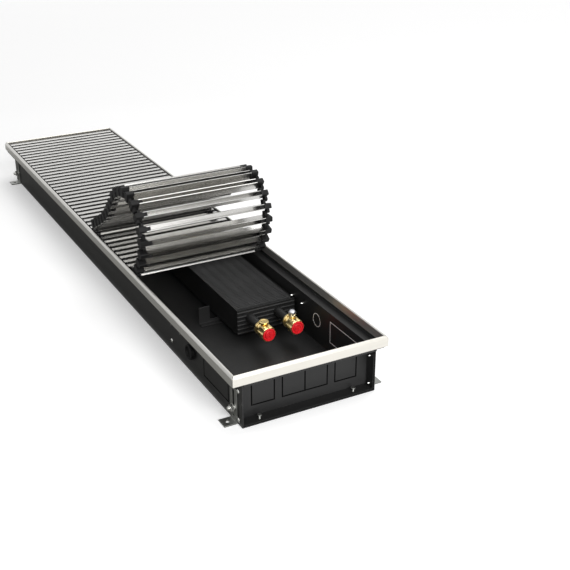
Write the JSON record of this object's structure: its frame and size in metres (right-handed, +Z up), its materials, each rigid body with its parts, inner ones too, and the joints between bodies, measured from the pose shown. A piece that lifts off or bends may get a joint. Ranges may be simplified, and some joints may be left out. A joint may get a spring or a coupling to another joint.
{
  "type": "trench convector heater",
  "caption": "Floor trench convector heater: a black steel tray with a finned water exchanger and valves, an aluminium rim and a roll-up slatted grille folded partly back.",
  "frame": {"origin": "middle of the footprint, on the ground", "axes": "+X along the tray towards the end with the valves, +Y towards the side with the exchanger, +Z up"},
  "size_m": [1.2, 0.2616, 0.2251],
  "materials": {
    "black_coat": "satin powder coat",
    "black_fins": "black lacquered fins",
    "frame_aluminium": "natural anodised",
    "slat_aluminium": "natural anodised",
    "black_rubber": "moulded",
    "zinc_steel": "zinc plated",
    "valve_brass": "machined",
    "vent_nickel": "nickel plated, knurled",
    "red_plastic": "moulded"
  },
  "bodies": {
    "tray_unit": {"tray": "black_coat", "end_plate_near": "black_coat", "end_plate_far": "black_coat", "frame_left": "frame_aluminium", "frame_right": "frame_aluminium", "frame_near": "frame_aluminium", "frame_far": "frame_aluminium", "grille_flat_slats": "slat_aluminium", "exchanger_near_sheet": "black_coat", "exchanger_far_sheet": "black_coat", "exchanger_left_side": "black_coat", "exchanger_right_side": "black_coat", "exchanger_fin_pack": "black_fins", "exchanger_pipe": "black_coat", "exchanger_bracket_near": "black_coat", "exchanger_bracket_far": "black_coat", "valve_body_left": "valve_brass", "valve_body_right": "valve_brass", "bleed_plug": "valve_brass", "cable_grommet": "black_rubber", "foot_bolt_near_left": "zinc_steel", "foot_bolt_near_right": "zinc_steel", "foot_bolt_far_left": "zinc_steel", "foot_bolt_far_right": "zinc_steel", "jack_screw_near_left": "zinc_steel", "jack_screw_near_right": "zinc_steel", "jack_screw_far_left": "zinc_steel", "jack_screw_far_right": "zinc_steel"},
    "slat_41": {"grille_slat_41": "slat_aluminium"},
    "slat_42": {"grille_slat_42": "slat_aluminium"},
    "slat_43": {"grille_slat_43": "slat_aluminium"},
    "slat_44": {"grille_slat_44": "slat_aluminium"},
    "slat_45": {"grille_slat_45": "slat_aluminium"},
    "slat_46": {"grille_slat_46": "slat_aluminium"},
    "slat_47": {"grille_slat_47": "slat_aluminium"},
    "slat_48": {"grille_slat_48": "slat_aluminium"},
    "slat_49": {"grille_slat_49": "slat_aluminium"},
    "slat_50": {"grille_slat_50": "slat_aluminium"},
    "slat_51": {"grille_slat_51": "slat_aluminium"},
    "slat_52": {"grille_slat_52": "slat_aluminium"},
    "slat_53": {"grille_slat_53": "slat_aluminium"},
    "slat_54": {"grille_slat_54": "slat_aluminium"},
    "slat_55": {"grille_slat_55": "slat_aluminium"},
    "slat_56": {"grille_slat_56": "slat_aluminium"},
    "slat_57": {"grille_slat_57": "slat_aluminium"},
    "slat_58": {"grille_slat_58": "slat_aluminium"},
    "slat_59": {"grille_slat_59": "slat_aluminium"},
    "slat_60": {"grille_slat_60": "slat_aluminium"},
    "slat_61": {"grille_slat_61": "slat_aluminium"},
    "cap_left": {"valve_cap_left": "red_plastic"},
    "cap_right": {"valve_cap_right": "red_plastic"},
    "vent": {"vent_knob": "vent_nickel"},
    "foot_near_left": {"foot_near_left": "zinc_steel"},
    "foot_near_right": {"foot_near_right": "zinc_steel"},
    "foot_far_left": {"foot_far_left": "zinc_steel"},
    "foot_far_right": {"foot_far_right": "zinc_steel"}
  },
  "joints": [
    {"name": "grille_hinge_41", "type": "hinge", "parent": "tray_unit", "child": "slat_41", "pos_m": [0.188, 0, 0.085], "axis": [0, 1, 0], "range_deg": [0, 28]},
    {"name": "grille_hinge_42", "type": "hinge", "parent": "slat_41", "child": "slat_42", "pos_m": [0.20513, 0, 0.09411], "axis": [0, 1, 0], "range_deg": [0, 17]},
    {"name": "grille_hinge_43", "type": "hinge", "parent": "slat_42", "child": "slat_43", "pos_m": [0.21885, 0, 0.10783], "axis": [0, 1, 0], "range_deg": [0, 12]},
    {"name": "grille_hinge_44", "type": "hinge", "parent": "slat_43", "child": "slat_44", "pos_m": [0.22941, 0, 0.1241], "axis": [0, 1, 0], "range_deg": [0, 15]},
    {"name": "grille_hinge_45", "type": "hinge", "parent": "slat_44", "child": "slat_45", "pos_m": [0.23541, 0, 0.14255], "axis": [0, 1, 0], "range_deg": [0, 18]},
    {"name": "grille_hinge_46", "type": "hinge", "parent": "slat_45", "child": "slat_46", "pos_m": [0.23541, 0, 0.16195], "axis": [0, 1, 0], "range_deg": [0, 19]},
    {"name": "grille_hinge_47", "type": "hinge", "parent": "slat_46", "child": "slat_47", "pos_m": [0.22909, 0, 0.18029], "axis": [0, 1, 0], "range_deg": [0, 19]},
    {"name": "grille_hinge_48", "type": "hinge", "parent": "slat_47", "child": "slat_48", "pos_m": [0.21715, 0, 0.19558], "axis": [0, 1, 0], "range_deg": [0, 19]},
    {"name": "grille_hinge_49", "type": "hinge", "parent": "slat_48", "child": "slat_49", "pos_m": [0.20088, 0, 0.20614], "axis": [0, 1, 0], "range_deg": [0, 19]},
    {"name": "grille_hinge_50", "type": "hinge", "parent": "slat_49", "child": "slat_50", "pos_m": [0.18205, 0, 0.21084], "axis": [0, 1, 0], "range_deg": [0, 18]},
    {"name": "grille_hinge_51", "type": "hinge", "parent": "slat_50", "child": "slat_51", "pos_m": [0.1627, 0, 0.20948], "axis": [0, 1, 0], "range_deg": [0, 16]},
    {"name": "grille_hinge_52", "type": "hinge", "parent": "slat_51", "child": "slat_52", "pos_m": [0.14447, 0, 0.20285], "axis": [0, 1, 0], "range_deg": [0, 14]},
    {"name": "grille_hinge_53", "type": "hinge", "parent": "slat_52", "child": "slat_53", "pos_m": [0.12839, 0, 0.192], "axis": [0, 1, 0], "range_deg": [0, 11]},
    {"name": "grille_hinge_54", "type": "hinge", "parent": "slat_53", "child": "slat_54", "pos_m": [0.11467, 0, 0.17828], "axis": [0, 1, 0], "range_deg": [0, 5.05]},
    {"name": "grille_hinge_55", "type": "hinge", "parent": "slat_54", "child": "slat_55", "pos_m": [0.1022, 0, 0.16342], "axis": [0, 1, 0], "range_deg": [-2.05, 0]},
    {"name": "grille_hinge_56", "type": "hinge", "parent": "slat_55", "child": "slat_56", "pos_m": [0.08922, 0, 0.149], "axis": [0, 1, 0], "range_deg": [-7.05, 0]},
    {"name": "grille_hinge_57", "type": "hinge", "parent": "slat_56", "child": "slat_57", "pos_m": [0.07458, 0, 0.13628], "axis": [0, 1, 0], "range_deg": [-8.05, 0]},
    {"name": "grille_hinge_58", "type": "hinge", "parent": "slat_57", "child": "slat_58", "pos_m": [0.05831, 0, 0.12571], "axis": [0, 1, 0], "range_deg": [-3.05, 0]},
    {"name": "grille_hinge_59", "type": "hinge", "parent": "slat_58", "child": "slat_59", "pos_m": [0.04151, 0, 0.11601], "axis": [0, 1, 0], "range_deg": [-2.05, 0]},
    {"name": "grille_hinge_60", "type": "hinge", "parent": "slat_59", "child": "slat_60", "pos_m": [0.02438, 0, 0.1069], "axis": [0, 1, 0], "range_deg": [0, 1.05]},
    {"name": "grille_hinge_61", "type": "hinge", "parent": "slat_60", "child": "slat_61", "pos_m": [0.00741, 0, 0.0975], "axis": [0, 1, 0], "range_deg": [-2.05, 0]},
    {"name": "valve_cap_left_turn", "type": "hinge", "parent": "tray_unit", "child": "cap_left", "pos_m": [0.4161, 0.021, 0.036], "axis": [1, 0, 0], "continuous": true},
    {"name": "valve_cap_right_turn", "type": "hinge", "parent": "tray_unit", "child": "cap_right", "pos_m": [0.4161, 0.072, 0.036], "axis": [1, 0, 0], "continuous": true},
    {"name": "vent_knob_turn", "type": "hinge", "parent": "tray_unit", "child": "vent", "pos_m": [0.406, 0.072, 0.0495], "axis": [0, 0, 1], "continuous": true},
    {"name": "foot_near_left_height", "type": "slide", "parent": "tray_unit", "child": "foot_near_left", "axis": [0, 0, -1], "range_m": [0, 0.027]},
    {"name": "foot_near_right_height", "type": "slide", "parent": "tray_unit", "child": "foot_near_right", "axis": [0, 0, -1], "range_m": [0, 0.027]},
    {"name": "foot_far_left_height", "type": "slide", "parent": "tray_unit", "child": "foot_far_left", "axis": [0, 0, -1], "range_m": [0, 0.027]},
    {"name": "foot_far_right_height", "type": "slide", "parent": "tray_unit", "child": "foot_far_right", "axis": [0, 0, -1], "range_m": [0, 0.027]}
  ],
  "couplings": [
    {"joint": "grille_hinge_54", "follows": "grille_hinge_53", "ratio": 0.45454},
    {"joint": "grille_hinge_55", "follows": "grille_hinge_53", "ratio": -0.18182},
    {"joint": "grille_hinge_56", "follows": "grille_hinge_53", "ratio": -0.63636},
    {"joint": "grille_hinge_57", "follows": "grille_hinge_53", "ratio": -0.72727},
    {"joint": "grille_hinge_58", "follows": "grille_hinge_53", "ratio": -0.27273},
    {"joint": "grille_hinge_59", "follows": "grille_hinge_53", "ratio": -0.18182},
    {"joint": "grille_hinge_60", "follows": "grille_hinge_53", "ratio": 0.090909},
    {"joint": "grille_hinge_61", "follows": "grille_hinge_53", "ratio": -0.18182}
  ]
}
